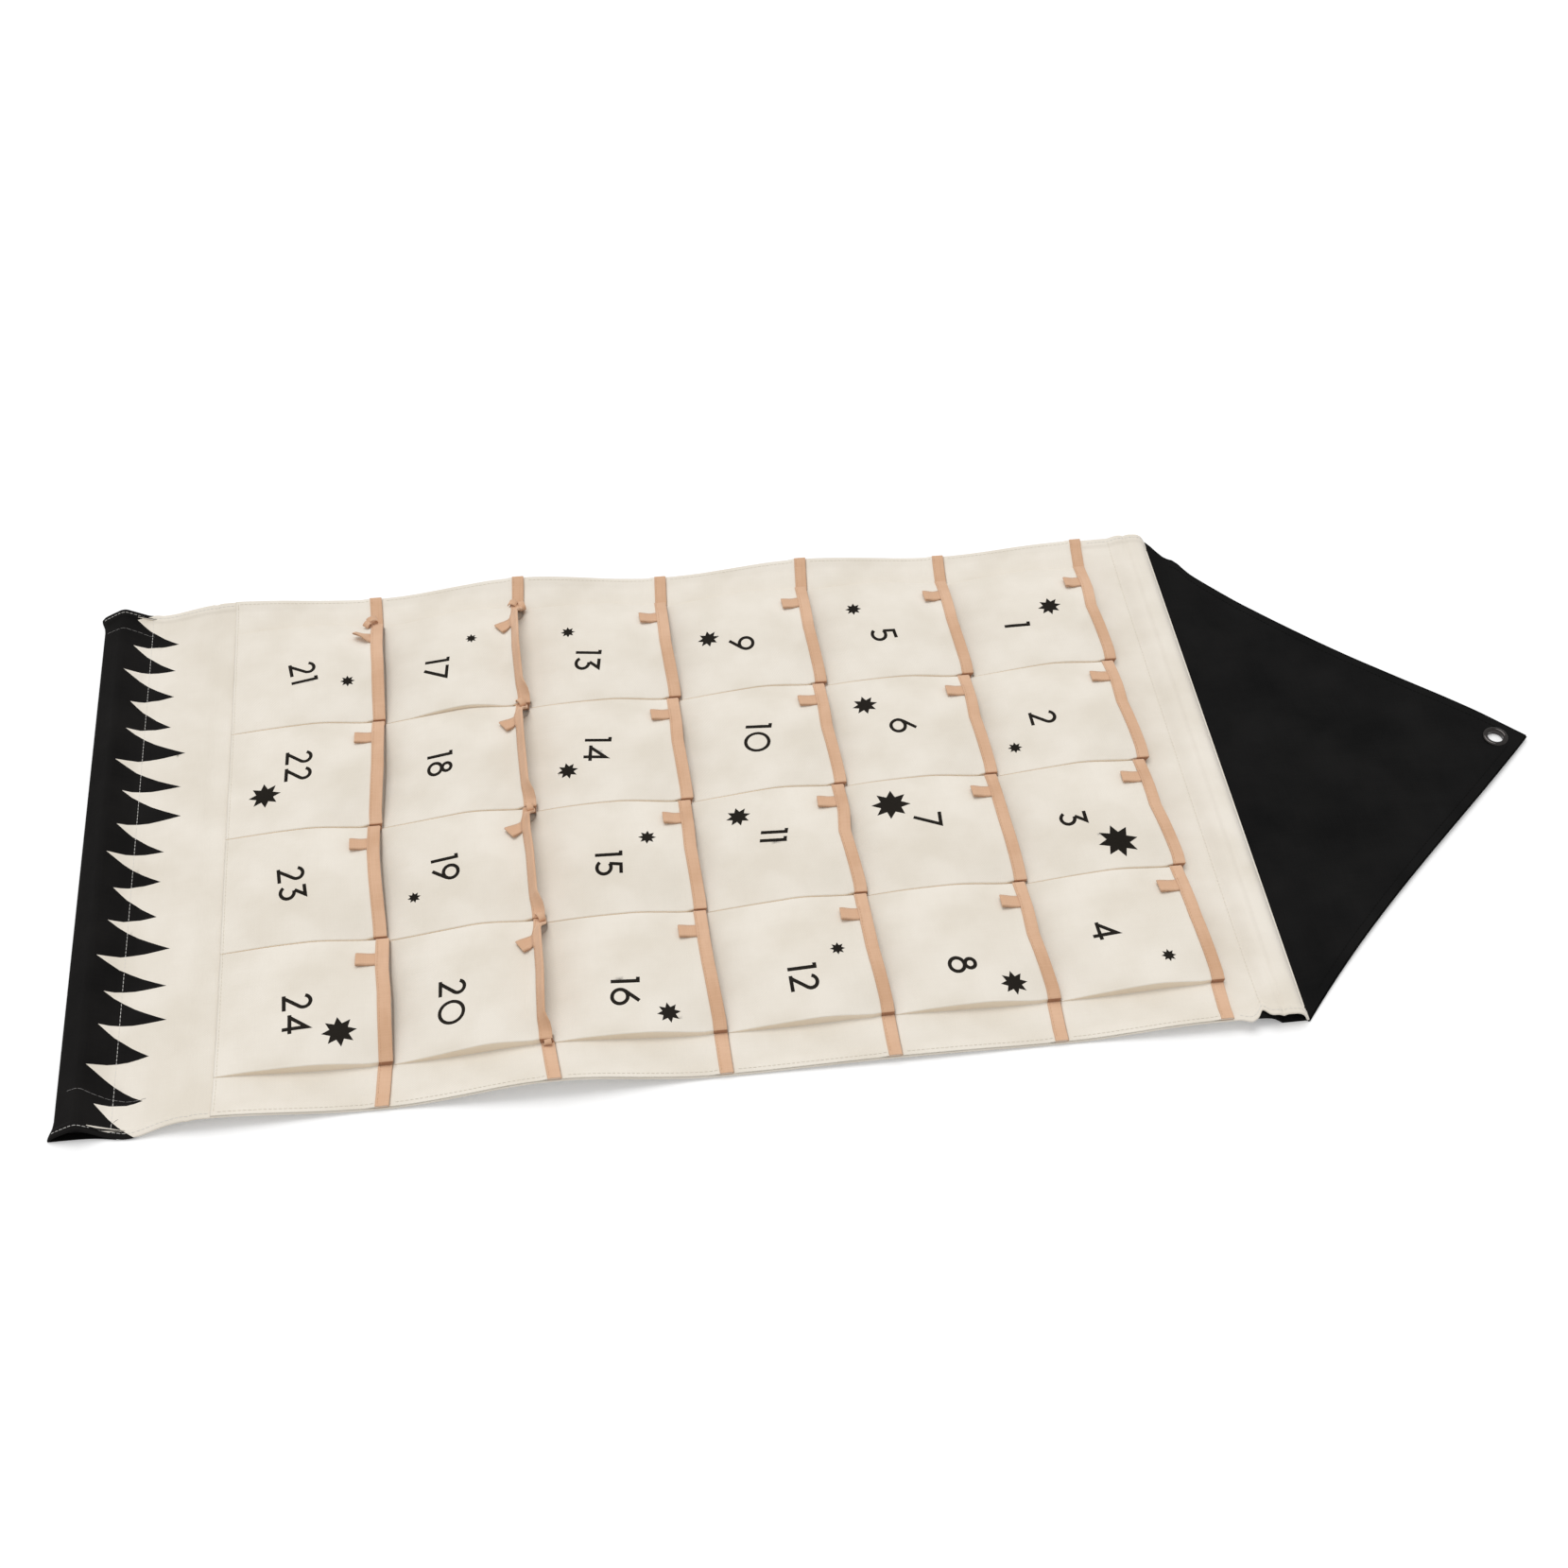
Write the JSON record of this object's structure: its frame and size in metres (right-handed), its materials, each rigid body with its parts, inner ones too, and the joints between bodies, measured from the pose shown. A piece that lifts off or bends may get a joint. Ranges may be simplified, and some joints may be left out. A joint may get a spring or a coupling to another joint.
{
  "type": "pocket advent calendar",
  "caption": "Canvas wall hanging with rows of numbered tape-bound pockets, rod tunnels at both ends and a triangular hanging flap with an eyelet.",
  "frame": {"origin": "on the surface that the calendar lies on, below the middle of its length and width", "axes": "+X from the left edge of the front to the right, +Y towards the hanging flap, +Z out of the front"},
  "size_m": [0.45, 0.9952, 0.0228],
  "materials": {
    "canvas": "plain woven cotton canvas, matte",
    "black_canvas": "plain woven cotton canvas, matte",
    "tape": "folded cotton bias tape, matte",
    "rod_wood": "plain sanded dowel",
    "eyelet_metal": "dark nickel plate, satin"
  },
  "bodies": {
    "panel_body": {"back_panel": "canvas", "top_tunnel_backing": "black_canvas", "pocket_strip_row_1": "canvas", "pocket_strip_row_2": "canvas", "pocket_strip_row_3": "canvas", "pocket_strip_row_4": "canvas", "pocket_strip_row_5": "canvas", "pocket_strip_row_6": "canvas", "binding_row_1": "tape", "binding_row_2": "tape", "binding_row_3": "tape", "binding_row_4": "tape", "binding_row_5": "tape", "binding_row_6": "tape"},
    "flap_body": {"hanging_flap": "black_canvas", "eyelet": "eyelet_metal", "eyelet_washer": "eyelet_metal"},
    "top_rod_body": {"top_rod": "rod_wood"},
    "bottom_rod_body": {"bottom_rod": "rod_wood"},
    "tab_01_body": {"tab_01": "tape"},
    "tab_02_body": {"tab_02": "tape"},
    "tab_03_body": {"tab_03": "tape"},
    "tab_04_body": {"tab_04": "tape"},
    "tab_05_body": {"tab_05": "tape"},
    "tab_06_body": {"tab_06": "tape"},
    "tab_07_body": {"tab_07": "tape"},
    "tab_08_body": {"tab_08": "tape"},
    "tab_09_body": {"tab_09": "tape"},
    "tab_10_body": {"tab_10": "tape"},
    "tab_11_body": {"tab_11": "tape"},
    "tab_12_body": {"tab_12": "tape"},
    "tab_13_body": {"tab_13": "tape"},
    "tab_14_body": {"tab_14": "tape"},
    "tab_15_body": {"tab_15": "tape"},
    "tab_16_body": {"tab_16": "tape"},
    "tab_17_body": {"tab_17": "tape"},
    "tab_18_body": {"tab_18": "tape"},
    "tab_19_body": {"tab_19": "tape"},
    "tab_20_body": {"tab_20": "tape"},
    "tab_21_body": {"tab_21": "tape"},
    "tab_22_body": {"tab_22": "tape"},
    "tab_23_body": {"tab_23": "tape"},
    "tab_24_body": {"tab_24": "tape"}
  },
  "joints": [
    {"name": "flap_fold", "type": "hinge", "parent": "panel_body", "child": "flap_body", "pos_m": [0, 0.27765, 0], "axis": [1, 0, 0], "range_deg": [-175, 115]},
    {"name": "top_rod_slide", "type": "slide", "parent": "panel_body", "child": "top_rod_body", "axis": [1, 0, 0], "range_m": [-0.42, 0.42]},
    {"name": "bottom_rod_slide", "type": "slide", "parent": "panel_body", "child": "bottom_rod_body", "axis": [1, 0, 0], "range_m": [-0.42, 0.42]},
    {"name": "tab_01_flip", "type": "hinge", "parent": "panel_body", "child": "tab_01_body", "pos_m": [-0.17355, 0.21762, 0.01701], "axis": [-0.9996, 0, -0.0291], "range_deg": [0, 160]},
    {"name": "tab_02_flip", "type": "hinge", "parent": "panel_body", "child": "tab_02_body", "pos_m": [-0.07685, 0.21764, 0.01612], "axis": [-0.9986, 0, -0.0523], "range_deg": [0, 160]},
    {"name": "tab_03_flip", "type": "hinge", "parent": "panel_body", "child": "tab_03_body", "pos_m": [0.0199, 0.21764, 0.0161], "axis": [-0.9986, 0, -0.0527], "range_deg": [0, 160]},
    {"name": "tab_04_flip", "type": "hinge", "parent": "panel_body", "child": "tab_04_body", "pos_m": [0.11664, 0.21764, 0.01625], "axis": [-0.9983, 0, -0.0587], "range_deg": [0, 160]},
    {"name": "tab_05_flip", "type": "hinge", "parent": "panel_body", "child": "tab_05_body", "pos_m": [-0.1736, 0.11274, 0.01344], "axis": [-0.9987, 0, -0.0513], "range_deg": [0, 160]},
    {"name": "tab_06_flip", "type": "hinge", "parent": "panel_body", "child": "tab_06_body", "pos_m": [-0.07685, 0.11272, 0.01339], "axis": [-0.9986, 0, -0.0527], "range_deg": [0, 160]},
    {"name": "tab_07_flip", "type": "hinge", "parent": "panel_body", "child": "tab_07_body", "pos_m": [0.0199, 0.11272, 0.01339], "axis": [-0.9986, 0, -0.0527], "range_deg": [0, 160]},
    {"name": "tab_08_flip", "type": "hinge", "parent": "panel_body", "child": "tab_08_body", "pos_m": [0.11665, 0.11271, 0.01339], "axis": [-0.9986, 0, -0.0527], "range_deg": [0, 160]},
    {"name": "tab_09_flip", "type": "hinge", "parent": "panel_body", "child": "tab_09_body", "pos_m": [-0.17353, 0.00761, 0.01776], "axis": [-0.9999, 0, -0.0155], "range_deg": [0, 160]},
    {"name": "tab_10_flip", "type": "hinge", "parent": "panel_body", "child": "tab_10_body", "pos_m": [-0.07685, 0.00764, 0.01634], "axis": [-0.9986, 0, -0.0521], "range_deg": [0, 160]},
    {"name": "tab_11_flip", "type": "hinge", "parent": "panel_body", "child": "tab_11_body", "pos_m": [0.0199, 0.00764, 0.01632], "axis": [-0.9986, 0, -0.0527], "range_deg": [0, 160]},
    {"name": "tab_12_flip", "type": "hinge", "parent": "panel_body", "child": "tab_12_body", "pos_m": [0.11665, 0.00764, 0.0163], "axis": [-0.9987, 0, -0.0517], "range_deg": [0, 160]},
    {"name": "tab_13_flip", "type": "hinge", "parent": "panel_body", "child": "tab_13_body", "pos_m": [-0.1736, -0.09724, 0.01345], "axis": [-0.9987, 0, -0.0513], "range_deg": [0, 160]},
    {"name": "tab_14_flip", "type": "hinge", "parent": "panel_body", "child": "tab_14_body", "pos_m": [-0.07685, -0.09727, 0.0134], "axis": [-0.9986, 0, -0.0527], "range_deg": [0, 160]},
    {"name": "tab_15_flip", "type": "hinge", "parent": "panel_body", "child": "tab_15_body", "pos_m": [0.0199, -0.09727, 0.0134], "axis": [-0.9986, 0, -0.0527], "range_deg": [0, 160]},
    {"name": "tab_16_flip", "type": "hinge", "parent": "panel_body", "child": "tab_16_body", "pos_m": [0.11665, -0.09727, 0.0134], "axis": [-0.9986, 0, -0.0528], "range_deg": [0, 160]},
    {"name": "tab_17_flip", "type": "hinge", "parent": "panel_body", "child": "tab_17_body", "pos_m": [-0.17351, -0.20243, 0.0228], "axis": [-1, 0, -0.0035], "range_deg": [0, 160]},
    {"name": "tab_18_flip", "type": "hinge", "parent": "panel_body", "child": "tab_18_body", "pos_m": [-0.07685, -0.20241, 0.02092], "axis": [-0.9987, 0, -0.0519], "range_deg": [0, 160]},
    {"name": "tab_19_flip", "type": "hinge", "parent": "panel_body", "child": "tab_19_body", "pos_m": [0.0199, -0.2024, 0.0209], "axis": [-0.9986, 0, -0.0528], "range_deg": [0, 160]},
    {"name": "tab_20_flip", "type": "hinge", "parent": "panel_body", "child": "tab_20_body", "pos_m": [0.11663, -0.20241, 0.02116], "axis": [-0.998, 0, -0.0638], "range_deg": [0, 160]},
    {"name": "tab_21_flip", "type": "hinge", "parent": "panel_body", "child": "tab_21_body", "pos_m": [-0.1736, -0.30729, 0.01423], "axis": [-0.9987, 0, -0.0513], "range_deg": [0, 160]},
    {"name": "tab_22_flip", "type": "hinge", "parent": "panel_body", "child": "tab_22_body", "pos_m": [-0.07685, -0.30731, 0.01418], "axis": [-0.9986, 0, -0.0527], "range_deg": [0, 160]},
    {"name": "tab_23_flip", "type": "hinge", "parent": "panel_body", "child": "tab_23_body", "pos_m": [0.0199, -0.30731, 0.01418], "axis": [-0.9986, 0, -0.0527], "range_deg": [0, 160]},
    {"name": "tab_24_flip", "type": "hinge", "parent": "panel_body", "child": "tab_24_body", "pos_m": [0.11665, -0.30731, 0.01418], "axis": [-0.9986, 0, -0.0528], "range_deg": [0, 160]}
  ]
}
